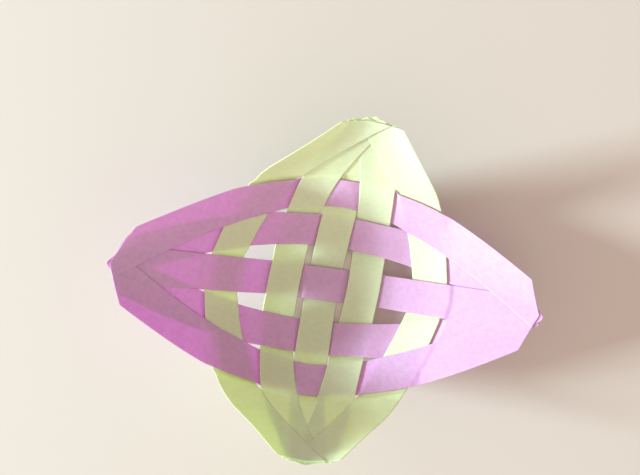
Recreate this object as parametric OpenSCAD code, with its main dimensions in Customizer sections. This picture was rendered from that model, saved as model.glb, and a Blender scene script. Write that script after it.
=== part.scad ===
// Woven paper boat: five lilac strips and five green strips, plain woven in the middle.
// The five ends on each side are gathered, one over another, into four raised prows.
// Units are millimetres, +Z is up, the lilac strips run along X, the origin is under the foot.

/* [Paper] */
// Length of the middle lilac strip, along the paper, from tip to tip
lilac_length = 220; // [190:1:260]
// Length of the middle green strip, along the paper, from tip to tip
green_length = 210; // [190:1:260]
// Width of every strip
strip_width = 17.5; // [14:0.5:22]
// Thickness of the paper, with its glue
paper = 0.2; // [0.1:0.05:0.3]

/* [Weave] */
// Middle of a lilac second strip from the middle strip
lilac_inner = 29; // [22:0.5:32]
// Middle of a lilac outer strip from the middle strip
lilac_outer = 52.5; // [48:0.5:58]
// Middle of a green second strip from the middle strip
green_inner = 21.5; // [20:0.5:30]
// Middle of a green outer strip from the middle strip
green_outer = 56; // [48:0.5:58]
// Rise of a strip at a crossing beyond the thickness of its own paper
weave_gap = 0.4; // [0.3:0.05:0.6]
// Angle that the green strips stand off square to the lilac ones, in degrees
lean = 3.5; // [0:0.5:8]

/* [Bowl] */
// Radius that a lilac strip bends to beyond the foot
lilac_radius = 57; // [45:1:90]
// Radius that a green strip bends to beyond the foot
green_radius = 55; // [45:1:90]
// Steepest climb of the left prow, in degrees
left_climb = 29; // [15:1:50]
// Steepest climb of the right prow, in degrees
right_climb = 21; // [15:1:50]
// Steepest climb of the near prow, in degrees
near_climb = 71; // [45:1:80]
// Steepest climb of the far prow, in degrees
far_climb = 60; // [45:1:80]

/* [Prows] */
// Radius of the hollow at the tip of a lilac prow
lilac_curl = 28; // [24:1:50]
// Radius of the hollow at the tip of a green prow
green_curl = 30; // [24:1:50]
// Share of the climb by which the hollow of a prow leans back
lean_back = 0.65; // [0.4:0.05:1]
// Middle of an outer strip from the middle of the prow, at the tip
tip_place = 2.5; // [2:0.5:9]
// How far a lilac tip falls back for each millimetre off the middle, as trimmed
lilac_rake = 0.42; // [0:0.02:0.6]
// How far a green tip falls back for each millimetre off the middle, as trimmed
green_rake = 0.06; // [0:0.02:0.6]
// How late the second strips turn in to the prow
inner_ease = 1.85; // [1.3:0.05:2.2]
// How late the outer strips turn in to the prow
outer_ease = 1.55; // [1.3:0.05:2]
// Free height between two glued layers in a prow
layer_gap = 0.35; // [0.25:0.05:0.5]

/* [Mesh] */
// Facets across a strip
across = 6; // [4:2:8]
// Facets along a strip from the weave to its end
tail = 9; // [6:1:12]
// Way along a strip from the weave to its place in the prow
settle = 2; // [1.5:0.5:4]

/* [Hidden] */
half = [lilac_length / 2, green_length / 2];
rake = [lilac_rake, green_rake];
shear = tan(lean);
inner = [lilac_inner, green_inner];
outer = [lilac_outer, green_outer];
radius = [lilac_radius, green_radius];
climb = [[left_climb, right_climb], [near_climb, far_climb]];
curl = [lilac_curl, green_curl];
weave_rise = paper + weave_gap;
layer_step = paper + layer_gap;
lift = weave_rise + paper / 2;
// Facet counts are whole numbers
tail_rows = round(tail);
across_rows = round(across);
// Stations along the weave: five to each of five crossings, one to each step between
weave_rows = 28;
// The foot is the flat middle crossing
foot_half = strip_width / 2;
// The prows begin where the weave ends
gather_start = max(lilac_outer, green_outer);
lilac_colour = [0.74, 0.56, 0.80];
green_colour = [0.80, 0.88, 0.62];
// Order of the layers in the prows, from strip -2 to strip 2
layers = [[1, -1, 0, -2, 2], [4, 1, -1, 0, 3]];

function side(x) = x < 0 ? -1 : 1;
function degrees(arc, r) = arc / r * 180 / PI;

// Place of strip k, set c, off its middle strip: at the weave and at its end
function start_place(c, k) = abs(k) == 2 ? outer[c] : abs(k) == 1 ? inner[c] : 0;
function end_place(k) = abs(k) * tip_place / 2;
function ease(k) = abs(k) == 2 ? outer_ease : inner_ease;

function place(c, k, s) =
    k == 0 ? 0 : side(k) * (start_place(c, k)
        - (start_place(c, k) - end_place(k)) * pow(abs(s) / half[c], ease(k)));
function slope(c, k, s) =
    k == 0 ? 0 : -side(k) * side(s) * (start_place(c, k) - end_place(k)) * ease(k)
        * pow(abs(s) / half[c], ease(k) - 1) / half[c];
function widen(c, k, s) = sqrt(1 + pow(slope(c, k, s), 2));

// Steepest climb of set c on the side that s points to
function steepest(c, s) = climb[c][s < 0 ? 0 : 1];

// The middle strip's climb at arc length s: run, height and angle
function climb_at(c, s) =
    let (
        steep = steepest(c, s),
        bent = max(abs(s) - foot_half, 0),
        most = radius[c] * steep * PI / 180,
        angle = degrees(min(bent, most), radius[c]),
        rest = max(bent - most, 0)
    )
    [
        min(abs(s), foot_half) + radius[c] * sin(angle) + rest * cos(steep),
        radius[c] * (1 - cos(angle)) + rest * sin(steep),
        angle
    ];

// Share of the prow's hollow at arc length s: 0 in the weave, 1 at the tip
function gather(c, s) =
    pow(min(max((abs(s) - gather_start) / (half[c] - gather_start), 0), 1), 1.2);

// Section across the bowl at arc length r: run and height
function section_at(c, m, r) =
    let (
        o = 1 - c,
        bow = (1 - m) / radius[o] + m / curl[c],
        flat = foot_half * (1 - m),
        bent = max(abs(r) - flat, 0),
        most = (1 - m) * radius[o] * steepest(o, r) * PI / 180 + m * half[c],
        angle = degrees(min(bent, most), 1 / bow),
        rest = max(bent - most, 0)
    )
    [
        min(abs(r), flat) + sin(angle) / bow + rest * cos(angle),
        (1 - cos(angle)) / bow + rest * sin(angle)
    ];

// Point of the bowl at s along and r across the strips of set c
function skin(c, s, r) =
    let (
        k = climb_at(c, s),
        m = gather(c, s),
        q = section_at(c, m, r),
        x = side(s) * (k[0] - q[1] * sin(lean_back * m * k[2])),
        y = side(r) * q[0],
        z = lift + k[1] + q[1] * cos(lean_back * m * k[2])
    )
    c == 0 ? [x + shear * y, y, z] : [y + shear * x, x, z];

function upright(c, s, r) =
    let (
        e = 0.05,
        n = cross(
            skin(c, s + e, r) - skin(c, s - e, r),
            skin(c, s, r + e) - skin(c, s, r - e))
    )
    (c == 0 ? 1 : -1) * n / norm(n);

// Half length of the level part of a crossing, towards the next one
// Where two neighbours lap, the strip between them turns more slowly
function level_half(c, j, d, r) =
    let (
        apart = abs(place(1 - c, j + d, r) - place(1 - c, j, r)),
        lap = max(1.07 * strip_width - apart, 0),
        turn = max((apart - strip_width) / 2, 1.5 * lap + 1)
    )
    abs(j + d) > 2 ? 0.56 * strip_width
        : min(strip_width / 2, max(apart / 2 - turn, 0.3));

// Arc length of weave station i: five stations to each crossing, one to each step between
function weave_at(c, i, r) =
    let (
        j = floor(i / 6) - 2,
        e = (i % 6 - 2) / 2,
        here = place(1 - c, j, r)
    )
    e > 1 ? (here + place(1 - c, j + 1, r)) / 2
        : here + e * level_half(c, j, e < 0 ? -1 : 1, r);
function weave_s(c, k, v, i, s, turns) =
    turns == 0 ? s
        : weave_s(c, k, v, i, weave_at(c, i, place(c, k, s) + v * widen(c, k, s)), turns - 1);
// Arc length of the trimmed end, on side d
function stop_s(c, k, v, d, s, turns) =
    turns == 0 ? s
        : stop_s(c, k, v, d,
            d * (half[c] - rake[c] * abs(place(c, k, s) + v * widen(c, k, s))), turns - 1);
function station_s(c, k, v, i) =
    let (
        d = i < tail_rows ? -1 : 1,
        stop = stop_s(c, k, v, d, d * half[c], 8),
        from = weave_s(c, k, v, d < 0 ? 0 : weave_rows, 0, 8),
        out = d < 0 ? tail_rows - i : i - tail_rows - weave_rows
    )
    out > 0 ? from + d * settle + (stop - from - d * settle) * (out - 1) / (tail_rows - 1)
        : weave_s(c, k, v, i - tail_rows, 0, 8);

// Rise or dip of strip k, set c, at station i
function rise_at(c, k, i) =
    i < tail_rows || i > tail_rows + weave_rows ? layers[c][k + 2] * layer_step
        : (i - tail_rows) % 6 == 5 ? 0
        : (abs(k + floor((i - tail_rows) / 6) - 2) % 2 == c ? 1 : -1) * weave_rise;

function strip_point(c, k, i, v, up) =
    let (
        s = station_s(c, k, v, i),
        r = place(c, k, s) + v * widen(c, k, s)
    )
    skin(c, s, r) + (rise_at(c, k, i) + up) * upright(c, s, r);

// One strip of paper, as a closed skin of facets
module strip(c, k) {
    rows = 2 * tail_rows + weave_rows;
    wide = across_rows + 1;
    count = (rows + 1) * wide;
    points = [
        for (up = [-paper / 2, paper / 2], i = [0:rows], a = [0:across_rows])
            strip_point(c, k, i, (a / across_rows - 0.5) * strip_width, up)
    ];
    lower = [
        for (i = [0:rows - 1], a = [0:across_rows - 1])
            let (p = i * wide + a)
            each [[p, p + wide, p + wide + 1], [p, p + wide + 1, p + 1]]
    ];
    upper = [for (f = lower) [f[0] + count, f[2] + count, f[1] + count]];
    edges = [
        for (i = [0:rows - 1])
            let (p = i * wide, q = i * wide + across_rows)
            each [
                [p, p + count, p + wide], [p + wide, p + count, p + wide + count],
                [q, q + wide, q + count], [q + wide, q + wide + count, q + count]
            ]
    ];
    ends = [
        for (a = [0:across_rows - 1])
            let (p = a, q = rows * wide + a)
            each [
                [p, p + 1, p + count], [p + 1, p + 1 + count, p + count],
                [q, q + count, q + 1], [q + 1, q + count, q + 1 + count]
            ]
    ];
    shell = concat(lower, upper, edges, ends);
    polyhedron(points, c == 0 ? shell : [for (f = shell) [f[0], f[2], f[1]]]);
}

module lilac_strip_1() { color(lilac_colour) strip(0, 2); }
module lilac_strip_2() { color(lilac_colour) strip(0, 1); }
module lilac_strip_3() { color(lilac_colour) strip(0, 0); }
module lilac_strip_4() { color(lilac_colour) strip(0, -1); }
module lilac_strip_5() { color(lilac_colour) strip(0, -2); }
module green_strip_1() { color(green_colour) strip(1, -2); }
module green_strip_2() { color(green_colour) strip(1, -1); }
module green_strip_3() { color(green_colour) strip(1, 0); }
module green_strip_4() { color(green_colour) strip(1, 1); }
module green_strip_5() { color(green_colour) strip(1, 2); }

lilac_strip_1();
lilac_strip_2();
lilac_strip_3();
lilac_strip_4();
lilac_strip_5();
green_strip_1();
green_strip_2();
green_strip_3();
green_strip_4();
green_strip_5();
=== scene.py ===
"""Woven paper boat: the looks.

Five lilac strips and five green strips of thin paper are plain woven, and the five ends on each
side are gathered one over another into four raised prows. Each strip is a fine numpy surface on
the same form as its solid, a sheet of translucent paper with its own thickness.
"""
import logging
from dataclasses import dataclass, field
from enum import Enum
from typing import Tuple

import bpy
import numpy as np
from mathutils import Matrix, Vector


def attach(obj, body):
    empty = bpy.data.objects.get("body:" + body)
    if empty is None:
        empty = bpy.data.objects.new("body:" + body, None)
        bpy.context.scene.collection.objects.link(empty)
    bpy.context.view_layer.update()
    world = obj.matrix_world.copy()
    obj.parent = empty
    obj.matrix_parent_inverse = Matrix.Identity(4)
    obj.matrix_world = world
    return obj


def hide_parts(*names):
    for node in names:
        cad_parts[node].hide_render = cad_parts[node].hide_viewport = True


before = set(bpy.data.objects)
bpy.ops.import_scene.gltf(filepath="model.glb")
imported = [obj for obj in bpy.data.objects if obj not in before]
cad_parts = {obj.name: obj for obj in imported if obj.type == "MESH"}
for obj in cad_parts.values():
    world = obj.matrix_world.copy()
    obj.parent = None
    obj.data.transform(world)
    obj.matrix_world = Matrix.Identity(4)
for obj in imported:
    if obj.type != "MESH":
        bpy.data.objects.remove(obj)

LOG = logging.getLogger("paper_boat")
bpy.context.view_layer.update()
MM = 0.001
STRIPS = 5
MIDDLE = 3
OFF_MIDDLE = range(1 - MIDDLE, STRIPS + 1 - MIDDLE)
STRIP_MAP = "strip_place"
Colour = Tuple[float, float, float]


class Paper(Enum):
    """The two colours of paper; the value is the set's number."""

    LILAC = 0
    GREEN = 1


@dataclass(frozen=True)
class BoatForm:
    """The form that all strips lie on, in millimetres, +X along the lilac strips and +Z up.

    A strip's own place is s along it from its middle, and r across from the middle strip. A pair
    of values is for the lilac set and the green set. The sizes are the solids' own, but the glued
    layers of a prow are pressed closer together here.
    """

    length: Tuple[float, float] = (220.0, 210.0)
    strip_width: float = 17.5
    paper: float = 0.2
    # Middles of the second and outer strips from the middle strip
    inner: Tuple[float, float] = (29.0, 21.5)
    outer: Tuple[float, float] = (52.5, 56.0)
    weave_gap: float = 0.4
    lean: float = 3.5
    radius: Tuple[float, float] = (57.0, 55.0)
    # Steepest climbs in degrees: left and right prow, then near and far prow
    climb: Tuple[Tuple[float, float], ...] = ((29.0, 21.0), (71.0, 60.0))
    # Radius of the hollow at a prow's tip, how the hollow grows, and how far it leans back
    curl: Tuple[float, float] = (28.0, 30.0)
    gather_power: float = 1.2
    lean_back: float = 0.65
    tip_place: float = 2.5
    rake: Tuple[float, float] = (0.42, 0.06)
    inner_ease: float = 1.85
    outer_ease: float = 1.55
    layer_gap: float = 0.04
    # Each strip's layer in its prows, counted up from the form
    layers: Tuple[Tuple[int, ...], ...] = ((1, -1, 0, -2, 2), (4, 1, -1, 0, 3))
    # Neighbours closer than this share of the width lap, and the strip between turns more slowly
    lap_share: float = 1.07
    lap_turn: float = 1.5
    least_turn: float = 1.0
    least_level: float = 0.3
    # Past the last crossing: share of the width that stays level, the solids' straight way to the
    # prow's layer, and how many times as long the soft step to it is here
    last_level: float = 0.56
    settle: float = 2.0
    soft_settle: float = 1.5
    # Small way to either side by which the form's slope is felt
    probe: float = 0.05

    def half(self, c: int) -> float:
        """Half the length of the middle strip of set c."""
        return self.length[c] / 2

    @property
    def weave_rise(self) -> float:
        """How far a strip rises or dips at a crossing."""
        return self.paper + self.weave_gap

    @property
    def foot_half(self) -> float:
        """Half the flat foot under the middle crossing."""
        return self.strip_width / 2

    @property
    def gather_start(self) -> float:
        """Place along a strip where the prow begins."""
        return max(self.outer)

    def ends(self, c: int, k: int) -> Tuple[float, float, float]:
        """Where a strip lies off the middle strip.

        Args:
            c: the set's number.
            k: the strip's number from the middle, -2 to 2.

        Returns:
            Its place at the middle of the weave, its place at the tip, and how late it turns in.
        """
        if abs(k) == 2:
            return self.outer[c], self.tip_place, self.outer_ease
        if abs(k) == 1:
            return self.inner[c], self.tip_place / 2, self.inner_ease
        return 0.0, 0.0, self.inner_ease

    def place(self, c: int, k: int, s: np.ndarray) -> np.ndarray:
        """Middle line of strip k: it falls from the weave place to the tip place by a power of s.

        Args:
            c: the set's number.
            k: the strip's number from the middle.
            s: places along the strip.

        Returns:
            Places across the form.
        """
        start, end, ease = self.ends(c, k)
        return np.sign(k) * (start - (start - end) * (np.abs(s) / self.half(c)) ** ease)

    def widen(self, c: int, k: int, s: np.ndarray) -> np.ndarray:
        """Width across the form for each unit of the strip's own width, from the line's slope.

        Args:
            c: the set's number.
            k: the strip's number from the middle.
            s: places along the strip.

        Returns:
            Shares of 1 or more.
        """
        start, end, ease = self.ends(c, k)
        slope = (start - end) * ease * (np.abs(s) / self.half(c)) ** (ease - 1) / self.half(c)
        return np.sqrt(1 + slope ** 2)

    def steepest(self, c: int, s: np.ndarray) -> np.ndarray:
        """Steepest climb of set c on the side that s points to, in radians."""
        return np.radians(np.where(s < 0, self.climb[c][0], self.climb[c][1]))

    def climb_at(self, c: int, s: np.ndarray) -> Tuple[np.ndarray, np.ndarray, np.ndarray]:
        """Side view of the middle strip: flat foot, then an arc, then a straight climb.

        Args:
            c: the set's number.
            s: places along the strip.

        Returns:
            Run, height, and angle of climb in radians.
        """
        steep = self.steepest(c, s)
        bent = np.maximum(np.abs(s) - self.foot_half, 0)
        most = self.radius[c] * steep
        angle = np.minimum(bent, most) / self.radius[c]
        rest = np.maximum(bent - most, 0)
        run = np.minimum(np.abs(s), self.foot_half) + self.radius[c] * np.sin(angle)
        run = run + rest * np.cos(steep)
        height = self.radius[c] * (1 - np.cos(angle)) + rest * np.sin(steep)
        return run, height, angle

    def gather(self, c: int, s: np.ndarray) -> np.ndarray:
        """Share of the prow's hollow: 0 in the weave, 1 at the tip."""
        way = (np.abs(s) - self.gather_start) / (self.half(c) - self.gather_start)
        return np.clip(way, 0, 1) ** self.gather_power

    def skin(self, c: int, s: np.ndarray, r: np.ndarray) -> np.ndarray:
        """Points of the form: a section that turns from the bowl's arc to the prow's hollow.

        Args:
            c: the set's number.
            s: places along the strips.
            r: places across them.

        Returns:
            Points, with the last axis x, y, z.
        """
        o = 1 - c
        share = self.gather(c, s)
        run, height, angle = self.climb_at(c, s)
        bow = (1 - share) / self.radius[o] + share / self.curl[c]
        flat = self.foot_half * (1 - share)
        bent = np.maximum(np.abs(r) - flat, 0)
        most = (1 - share) * self.radius[o] * self.steepest(o, r) + share * self.half(c)
        turn = np.minimum(bent, most) * bow
        rest = np.maximum(bent - most, 0)
        out = np.minimum(np.abs(r), flat) + np.sin(turn) / bow + rest * np.cos(turn)
        up = (1 - np.cos(turn)) / bow + rest * np.sin(turn)
        back = self.lean_back * share * angle
        x = np.sign(s) * (run - up * np.sin(back))
        y = np.sign(r) * out
        z = self.weave_rise + self.paper / 2 + height + up * np.cos(back)
        shear = np.tan(np.radians(self.lean))
        if c == Paper.LILAC.value:
            return np.stack([x + shear * y, y, z], axis=-1)
        return np.stack([y + shear * x, x, z], axis=-1)

    def upright(self, c: int, s: np.ndarray, r: np.ndarray) -> np.ndarray:
        """Unit normals of the form, up and inwards, by small differences.

        Args:
            c: the set's number.
            s: places along the strips.
            r: places across them.

        Returns:
            Normals, with the last axis x, y, z.
        """
        along = self.skin(c, s + self.probe, r) - self.skin(c, s - self.probe, r)
        over = self.skin(c, s, r + self.probe) - self.skin(c, s, r - self.probe)
        n = np.cross(along, over) * (1 if c == Paper.LILAC.value else -1)
        return n / np.linalg.norm(n, axis=-1, keepdims=True)


def smooth(u: np.ndarray) -> np.ndarray:
    """A soft step from 0 to 1."""
    u = np.clip(u, 0, 1)
    return u * u * (3 - 2 * u)


@dataclass(frozen=True)
class Snip:
    """A small point of paper that sticks out of one trimmed end, in millimetres.

    The strip is k from the middle one, and side is 1 for its end towards +X or +Y, or else -1.
    """

    paper: Paper
    k: int
    side: int
    middle: float
    reach: float
    half_width: float

    def out(self, r: np.ndarray) -> np.ndarray:
        """How far it sticks out at r across the form."""
        return self.reach * np.maximum(1 - np.abs(r - self.middle) / self.half_width, 0)


SNIPS = (
    Snip(Paper.LILAC, k=0, side=1, middle=-1.2, reach=2.4, half_width=4.6),
    Snip(Paper.LILAC, k=1, side=1, middle=-3.4, reach=2.0, half_width=3.4),
    Snip(Paper.LILAC, k=0, side=-1, middle=0.4, reach=1.4, half_width=3.0),
    Snip(Paper.GREEN, k=0, side=1, middle=0.8, reach=2.2, half_width=3.4),
    Snip(Paper.GREEN, k=1, side=1, middle=-2.4, reach=1.5, half_width=2.6),
    Snip(Paper.GREEN, k=-1, side=1, middle=3.6, reach=1.3, half_width=2.8),
    Snip(Paper.GREEN, k=0, side=-1, middle=-1.5, reach=1.0, half_width=4.0),
)


@dataclass
class PaperStrip:
    """One strip of paper, woven in the middle and glued into a prow at each end."""

    form: BoatForm
    paper: Paper
    number: int
    rows: int = 420
    across: int = 32
    thickness: float = 0.11
    trim_rounds: int = 10
    piece: bpy.types.Object = field(default=None, init=False)

    @property
    def k(self) -> int:
        """The strip's number from the middle: the first lilac one is farthest along +Y."""
        return MIDDLE - self.number if self.paper is Paper.LILAC else self.number - MIDDLE

    @property
    def node(self) -> str:
        """Name of the solid that this strip dresses."""
        return "%s_strip_%d" % (self.paper.name.lower(), self.number)

    def stop(self, v: np.ndarray, d: int) -> np.ndarray:
        """Where the trimmed end cuts the strip: it falls back with the distance off the middle.

        Args:
            v: places across the strip's own width.
            d: the end, -1 or 1.

        Returns:
            Places along the strip, with the small points of the trimmed end added.
        """
        form = self.form
        c = self.paper.value
        s = np.full_like(v, d * form.half(c))
        for _ in range(self.trim_rounds):
            r = form.place(c, self.k, s) + v * form.widen(c, self.k, s)
            s = d * (form.half(c) - form.rake[c] * np.abs(r))
        for snip in SNIPS:
            if (snip.paper, snip.k, snip.side) == (self.paper, self.k, d):
                s = s + d * snip.out(r)
        return s

    def rise(self, s: np.ndarray, r: np.ndarray) -> np.ndarray:
        """Over and under: level at each crossing, soft steps between, then the prow's layer.

        Args:
            s: places along the strip.
            r: places across the form.

        Returns:
            Height off the form.
        """
        form = self.form
        c = self.paper.value
        width = form.strip_width
        cross = [form.place(1 - c, j, r) for j in OFF_MIDDLE]
        sign = [1 if abs(self.k + j) % 2 == c else -1 for j in OFF_MIDDLE]
        layer = form.layers[c][OFF_MIDDLE.index(self.k)] * (form.paper + form.layer_gap)
        height = np.full_like(s, sign[0] * form.weave_rise)
        for a, b, ca, cb in zip(sign, sign[1:], cross, cross[1:]):
            apart = cb - ca
            lap = np.maximum(form.lap_share * width - apart, 0)
            turn = np.maximum((apart - width) / 2, form.lap_turn * lap + form.least_turn)
            level = np.minimum(width / 2, np.maximum(apart / 2 - turn, form.least_level))
            u = (s - ca - level) / (apart - 2 * level)
            height = height + (b - a) * form.weave_rise * smooth(u)
        for end, at, d in ((sign[0], cross[0], -1), (sign[-1], cross[-1], 1)):
            u = (d * (s - at) - form.last_level * width) / (form.soft_settle * form.settle)
            height = height + (layer - end * form.weave_rise) * smooth(u)
        return height

    def build(self) -> bpy.types.Object:
        """Makes the sheet: a grid of rows along the strip, put on the form and lifted off it.

        Returns:
            The strip's object, which stands for its solid.
        """
        form = self.form
        c = self.paper.value
        v = np.linspace(-0.5, 0.5, self.across + 1) * form.strip_width
        t = np.linspace(0, 1, self.rows + 1)[:, None]
        s = self.stop(v, -1) * (1 - t) + self.stop(v, 1) * t
        r = form.place(c, self.k, s) + v * form.widen(c, self.k, s)
        points = form.skin(c, s, r) + self.rise(s, r)[..., None] * form.upright(c, s, r)
        uv = np.stack([s, np.broadcast_to(v, s.shape)], axis=-1)
        self.piece = sheet_object(self.node + "_paper", points * MM, uv * MM, c == Paper.GREEN.value)
        wall = self.piece.modifiers.new("paper_thickness", "SOLIDIFY")
        wall.thickness = self.thickness * MM
        wall.offset = 0.0
        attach(self.piece, "root")
        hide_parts(self.node)
        return self.piece

    def dress(self, material: bpy.types.Material) -> None:
        """Gives the strip its paper."""
        self.piece.data.materials.append(material)


def sheet_object(name: str, points: np.ndarray, uv: np.ndarray, flip: bool) -> bpy.types.Object:
    """A mesh object from a grid of points.

    Args:
        name: the object's name.
        points: grid of points in metres, rows by columns by 3.
        uv: the same grid's flat place on the paper.
        flip: turns the faces over.

    Returns:
        The new object, linked to the scene.
    """
    rows, cols = points.shape[:2]
    index = np.arange(rows * cols).reshape(rows, cols)
    quads = np.stack([index[:-1, :-1], index[1:, :-1], index[1:, 1:], index[:-1, 1:]], axis=-1)
    quads = quads.reshape(-1, 4)
    if flip:
        quads = quads[:, ::-1]
    mesh = bpy.data.meshes.new(name)
    mesh.from_pydata(points.reshape(-1, 3), [], quads)
    layer = mesh.uv_layers.new(name=STRIP_MAP)
    layer.uv.foreach_set("vector", uv.reshape(-1, 2)[quads.reshape(-1)].astype(np.float32).ravel())
    mesh.polygons.foreach_set("use_smooth", np.ones(len(quads), dtype=bool))
    mesh.update()
    piece = bpy.data.objects.new(name, mesh)
    bpy.context.scene.collection.objects.link(piece)
    return piece


@dataclass(frozen=True)
class PaperFibres:
    """Thin paper's fibres: cloudy mottling, short threads across it, and a rough height."""

    cloud_detail: float = 4.0
    cloud_rough: float = 0.6
    cloud_from: float = 0.34
    cloud_to: float = 0.66
    thread_scale: Tuple[float, float, float] = (600.0, 2600.0, 2600.0)
    thread_turn: float = 0.5
    thread_detail: float = 3.0
    thread_bend: float = 1.5
    thread_from: float = 0.55
    thread_to: float = 0.72
    cloud_height: float = 0.35

    def group(self) -> bpy.types.ShaderNodeTree:
        """Builds the fibres once, for both papers.

        Returns:
            A node group that puts out a cloud mask, a thread mask and a height.
        """
        group = bpy.data.node_groups.new("paper_fibres", "ShaderNodeTree")
        group.interface.new_socket("Place", in_out="INPUT", socket_type="NodeSocketVector")
        group.interface.new_socket("Cloud Size", in_out="INPUT", socket_type="NodeSocketFloat")
        for name in ("Cloud", "Threads", "Height"):
            group.interface.new_socket(name, in_out="OUTPUT", socket_type="NodeSocketFloat")
        nodes, links = group.nodes, group.links
        enter = nodes.new("NodeGroupInput")
        leave = nodes.new("NodeGroupOutput")

        cloud = nodes.new("ShaderNodeTexNoise")
        cloud.inputs["Detail"].default_value = self.cloud_detail
        cloud.inputs["Roughness"].default_value = self.cloud_rough
        links.new(enter.outputs["Place"], cloud.inputs["Vector"])
        links.new(enter.outputs["Cloud Size"], cloud.inputs["Scale"])
        spread = nodes.new("ShaderNodeMapRange")
        spread.interpolation_type = "SMOOTHSTEP"
        spread.inputs["From Min"].default_value = self.cloud_from
        spread.inputs["From Max"].default_value = self.cloud_to
        links.new(cloud.outputs["Fac"], spread.inputs["Value"])
        links.new(spread.outputs["Result"], leave.inputs["Cloud"])

        stretch = nodes.new("ShaderNodeMapping")
        stretch.inputs["Scale"].default_value = self.thread_scale
        stretch.inputs["Rotation"].default_value = (0.0, 0.0, self.thread_turn)
        links.new(enter.outputs["Place"], stretch.inputs["Vector"])
        thread = nodes.new("ShaderNodeTexNoise")
        thread.inputs["Scale"].default_value = 1.0
        thread.inputs["Detail"].default_value = self.thread_detail
        thread.inputs["Distortion"].default_value = self.thread_bend
        links.new(stretch.outputs["Vector"], thread.inputs["Vector"])
        fine = nodes.new("ShaderNodeMapRange")
        fine.inputs["From Min"].default_value = self.thread_from
        fine.inputs["From Max"].default_value = self.thread_to
        links.new(thread.outputs["Fac"], fine.inputs["Value"])
        links.new(fine.outputs["Result"], leave.inputs["Threads"])

        height = nodes.new("ShaderNodeMath")
        height.operation = "MULTIPLY_ADD"
        height.inputs[1].default_value = self.cloud_height
        links.new(cloud.outputs["Fac"], height.inputs[0])
        links.new(thread.outputs["Fac"], height.inputs[2])
        links.new(height.outputs["Value"], leave.inputs["Height"])
        return group


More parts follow.
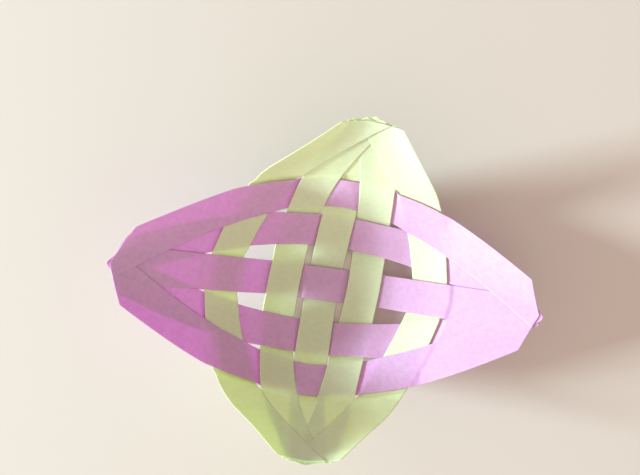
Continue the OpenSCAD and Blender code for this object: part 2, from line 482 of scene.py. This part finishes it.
@dataclass(frozen=True)
class PaperFinish:
    """A thin matt coloured paper that lets light through; its lengths are in metres."""

    name: str
    face: Colour
    deep: Colour
    through: Colour
    # Pale colour of the paper's fibre threads, also used for the painted highlight along the strip's
    # sides
    thread_and_border_highlight: Colour
    passes: float = 0.35
    rough: float = 0.52
    thread_rough: float = 0.12
    shine: float = 0.5
    cloud_size: float = 420.0
    fibre_share: float = 0.35
    # Painted highlight, a pale band along both long sides of a strip: where it starts and is full,
    # in from the strip's side, and its strength
    border_highlight_start: float = 0.0006
    border_highlight_full: float = 0.0001
    border_highlight_share: float = 0.25
    bump_strength: float = 0.25
    bump_height: float = 0.00006

    def mottled(self, tree: bpy.types.NodeTree, weft: bpy.types.Node) -> bpy.types.NodeSocket:
        """Colour of the face: deep and pale clouds, with pale threads over them.

        Args:
            tree: the material's nodes.
            weft: the placed group of fibres.

        Returns:
            The colour's socket.
        """
        nodes, links = tree.nodes, tree.links
        mottle = nodes.new("ShaderNodeMix")
        mottle.data_type = "RGBA"
        mottle.inputs["A"].default_value = (*self.deep, 1.0)
        mottle.inputs["B"].default_value = (*self.face, 1.0)
        links.new(weft.outputs["Cloud"], mottle.inputs["Factor"])
        share = nodes.new("ShaderNodeMath")
        share.operation = "MULTIPLY"
        share.inputs[1].default_value = self.fibre_share
        links.new(weft.outputs["Threads"], share.inputs[0])
        fibre = nodes.new("ShaderNodeMix")
        fibre.data_type = "RGBA"
        fibre.inputs["B"].default_value = (*self.thread_and_border_highlight, 1.0)
        links.new(share.outputs["Value"], fibre.inputs["Factor"])
        links.new(mottle.outputs["Result"], fibre.inputs["A"])
        return fibre.outputs["Result"]

    def with_border_highlight(
        self, tree: bpy.types.NodeTree, colour: bpy.types.NodeSocket, half_width: float
    ) -> bpy.types.NodeSocket:
        """Colour with a pale painted highlight along both long sides of the strip, by the place
        across it.

        Args:
            tree: the material's nodes.
            colour: the face's colour.
            half_width: half the width of a strip, in metres.

        Returns:
            The colour's socket.
        """
        nodes, links = tree.nodes, tree.links
        uv = nodes.new("ShaderNodeUVMap")
        uv.uv_map = STRIP_MAP
        split = nodes.new("ShaderNodeSeparateXYZ")
        links.new(uv.outputs["UV"], split.inputs["Vector"])
        off = nodes.new("ShaderNodeMath")
        off.operation = "ABSOLUTE"
        links.new(split.outputs["Y"], off.inputs[0])
        # Mask of the painted highlight along the strip's long sides
        border_highlight_mask = nodes.new("ShaderNodeMapRange")
        border_highlight_mask.inputs["From Min"].default_value = half_width - self.border_highlight_start
        border_highlight_mask.inputs["From Max"].default_value = half_width - self.border_highlight_full
        border_highlight_mask.inputs["To Max"].default_value = self.border_highlight_share
        links.new(off.outputs["Value"], border_highlight_mask.inputs["Value"])
        # Mixes the pale painted highlight into the face colour
        border_highlighted = nodes.new("ShaderNodeMix")
        border_highlighted.data_type = "RGBA"
        border_highlighted.inputs["B"].default_value = (*self.thread_and_border_highlight, 1.0)
        links.new(border_highlight_mask.outputs["Result"], border_highlighted.inputs["Factor"])
        links.new(colour, border_highlighted.inputs["A"])
        return border_highlighted.outputs["Result"]

    def material(self, fibres: bpy.types.ShaderNodeTree, half_width: float) -> bpy.types.Material:
        """Makes the paper.

        Args:
            fibres: the shared group of paper fibres.
            half_width: half the width of a strip, in metres.

        Returns:
            A material: a matt face mixed with light from behind, mottled by the fibres.
        """
        material = bpy.data.materials.new(self.name)
        material.use_nodes = True
        tree = material.node_tree
        nodes, links = tree.nodes, tree.links
        nodes.clear()
        out = nodes.new("ShaderNodeOutputMaterial")
        place = nodes.new("ShaderNodeTexCoord")
        weft = nodes.new("ShaderNodeGroup")
        weft.node_tree = fibres
        weft.inputs["Cloud Size"].default_value = self.cloud_size
        links.new(place.outputs["Object"], weft.inputs["Place"])
        # Face colour, with the painted highlight along the strip's sides
        colour = self.with_border_highlight(tree, self.mottled(tree, weft), half_width)

        bump = nodes.new("ShaderNodeBump")
        bump.inputs["Strength"].default_value = self.bump_strength
        bump.inputs["Distance"].default_value = self.bump_height
        links.new(weft.outputs["Height"], bump.inputs["Height"])
        tooth = nodes.new("ShaderNodeMapRange")
        tooth.inputs["To Min"].default_value = self.rough
        tooth.inputs["To Max"].default_value = self.rough + self.thread_rough
        links.new(weft.outputs["Threads"], tooth.inputs["Value"])
        matt = nodes.new("ShaderNodeBsdfPrincipled")
        matt.inputs["Specular IOR Level"].default_value = self.shine
        links.new(colour, matt.inputs["Base Color"])
        links.new(bump.outputs["Normal"], matt.inputs["Normal"])
        links.new(tooth.outputs["Result"], matt.inputs["Roughness"])

        glow = nodes.new("ShaderNodeMix")
        glow.data_type = "RGBA"
        glow.blend_type = "MULTIPLY"
        glow.inputs["Factor"].default_value = 1.0
        glow.inputs["B"].default_value = (*self.through, 1.0)
        links.new(colour, glow.inputs["A"])
        behind = nodes.new("ShaderNodeBsdfTranslucent")
        links.new(glow.outputs["Result"], behind.inputs["Color"])
        sheet = nodes.new("ShaderNodeMixShader")
        sheet.inputs["Fac"].default_value = self.passes
        links.new(matt.outputs["BSDF"], sheet.inputs[1])
        links.new(behind.outputs["BSDF"], sheet.inputs[2])
        links.new(sheet.outputs["Shader"], out.inputs["Surface"])
        return material


LILAC_FINISH = PaperFinish(
    "lilac_tissue",
    face=(0.85, 0.65, 0.88),
    deep=(0.81, 0.58, 0.85),
    through=(1.0, 0.0, 0.90),
    # Pale fibre threads, and the painted highlight along the strip's sides
    thread_and_border_highlight=(0.93, 0.82, 0.95),
)
GREEN_FINISH = PaperFinish(
    "green_tissue",
    face=(0.88, 0.97, 0.82),
    deep=(0.85, 0.94, 0.75),
    through=(0.96, 1.0, 0.46),
    # Pale fibre threads, and the painted highlight along the strip's sides
    thread_and_border_highlight=(0.93, 0.97, 0.86),
)


@dataclass(frozen=True)
class Studio:
    """Pale floor, a soft low light from the left, a pale room, and the picture's camera."""

    # The camera's turns in radians and its shift in millimetres, as fitted to the picture
    turn: Tuple[float, float, float] = (0.0022, 0.0969, -0.1352)
    shift: Tuple[float, float, float] = (1.9065, -24.5749, -289.0473)
    # Focal length and width of the picture, both in its pixels, and the sensor in millimetres
    focal: float = 541.0
    picture_width: float = 640.0
    sensor: float = 36.0
    near_clip: float = 0.01
    floor_colour: Colour = (0.65, 0.615, 0.575)
    floor_reach: float = 3.0
    floor_rough: float = 0.85
    floor_shine: float = 0.2
    # The window light: degrees round and up, then metres and watts
    key_turn: float = 7.6
    key_rise: float = 15.2
    key_far: float = 3.0
    key_size: float = 0.64
    key_power: float = 158.0
    key_colour: Colour = (0.84, 1.09, 1.13)
    key_aim: Tuple[float, float, float] = (0.0, 0.0, 0.02)
    # The room's light, how it changes with the direction it comes from, and the picture's tone
    room_colour: Colour = (1.0, 0.825, 0.74)
    room_light: float = 1.05
    room_slope: Tuple[float, float, float] = (-0.2, -0.4, -0.36)
    exposure: float = 0.12
    gamma: float = 0.88

    def camera(self) -> None:
        """Sets the camera: nearly straight above, turned a little, as the picture was taken."""
        turned = Matrix.Identity(3)
        for axis, angle in zip("XYZ", self.turn):
            turned = turned @ Matrix.Rotation(angle, 3, axis)
        back = turned.transposed()
        data = bpy.data.cameras.new("picture_camera")
        data.sensor_width = self.sensor
        data.lens = self.focal / self.picture_width * self.sensor
        data.clip_start = self.near_clip
        camera = bpy.data.objects.new("picture_camera", data)
        camera.matrix_world = Matrix.Translation(-(back @ Vector(self.shift)) * MM) @ back.to_4x4()
        bpy.context.scene.collection.objects.link(camera)
        bpy.context.scene.camera = camera

    def floor(self) -> None:
        """Lays the pale floor under the boat."""
        reach = np.array((-1.0, 0.0, 1.0)) * self.floor_reach
        x, y = np.meshgrid(reach, reach, indexing="ij")
        points = np.stack([x, y, np.zeros_like(x)], axis=-1)
        floor = sheet_object("floor", points, points[..., :2], False)
        material = bpy.data.materials.new("pale_floor")
        material.use_nodes = True
        shader = material.node_tree.nodes["Principled BSDF"]
        shader.inputs["Base Color"].default_value = (*self.floor_colour, 1.0)
        shader.inputs["Roughness"].default_value = self.floor_rough
        shader.inputs["Specular IOR Level"].default_value = self.floor_shine
        floor.data.materials.append(material)

    def window(self) -> None:
        """Hangs the one lamp: a round soft light, low on the left, that faces the boat."""
        turn, rise = np.radians(self.key_turn), np.radians(self.key_rise)
        way = Vector((-np.cos(turn) * np.cos(rise), -np.sin(turn) * np.cos(rise), np.sin(rise)))
        place = way * self.key_far
        data = bpy.data.lights.new("window", "AREA")
        data.shape = "DISK"
        data.size = self.key_size
        data.energy = self.key_power
        data.color = self.key_colour
        lamp = bpy.data.objects.new("window", data)
        aim = (Vector(self.key_aim) - place).to_track_quat("-Z", "Y")
        lamp.matrix_world = Matrix.Translation(place) @ aim.to_matrix().to_4x4()
        bpy.context.scene.collection.objects.link(lamp)

    def room(self) -> None:
        """Sets the pale room, brighter low, near and left, and how bright the picture comes out."""
        world = bpy.data.worlds.new("pale_room")
        world.use_nodes = True
        nodes, links = world.node_tree.nodes, world.node_tree.links
        sky = nodes["Background"]
        sky.inputs["Color"].default_value = (*self.room_colour, 1.0)
        way_out = nodes.new("ShaderNodeTexCoord")
        slope = nodes.new("ShaderNodeVectorMath")
        slope.operation = "DOT_PRODUCT"
        slope.inputs[1].default_value = self.room_slope
        level = nodes.new("ShaderNodeMath")
        level.operation = "ADD"
        level.inputs[1].default_value = self.room_light
        links.new(way_out.outputs["Generated"], slope.inputs[0])
        links.new(slope.outputs["Value"], level.inputs[0])
        links.new(level.outputs["Value"], sky.inputs["Strength"])
        bpy.context.scene.world = world
        view = bpy.context.scene.view_settings
        view.view_transform = "Standard"
        view.exposure = self.exposure
        view.gamma = self.gamma


def main() -> None:
    """Builds the strips, dresses them, and sets the studio."""
    logging.basicConfig(level=logging.INFO)
    form = BoatForm()
    fibres = PaperFibres().group()
    half_width = form.strip_width / 2 * MM
    papers = {
        Paper.LILAC: LILAC_FINISH.material(fibres, half_width),
        Paper.GREEN: GREEN_FINISH.material(fibres, half_width),
    }
    for paper in Paper:
        for number in range(1, STRIPS + 1):
            strip = PaperStrip(form, paper, number)
            strip.build()
            strip.dress(papers[paper])
            LOG.info("%s stands for %s", strip.piece.name, strip.node)
    studio = Studio()
    studio.floor()
    studio.window()
    studio.room()
    studio.camera()


if __name__ == "__main__":
    main()
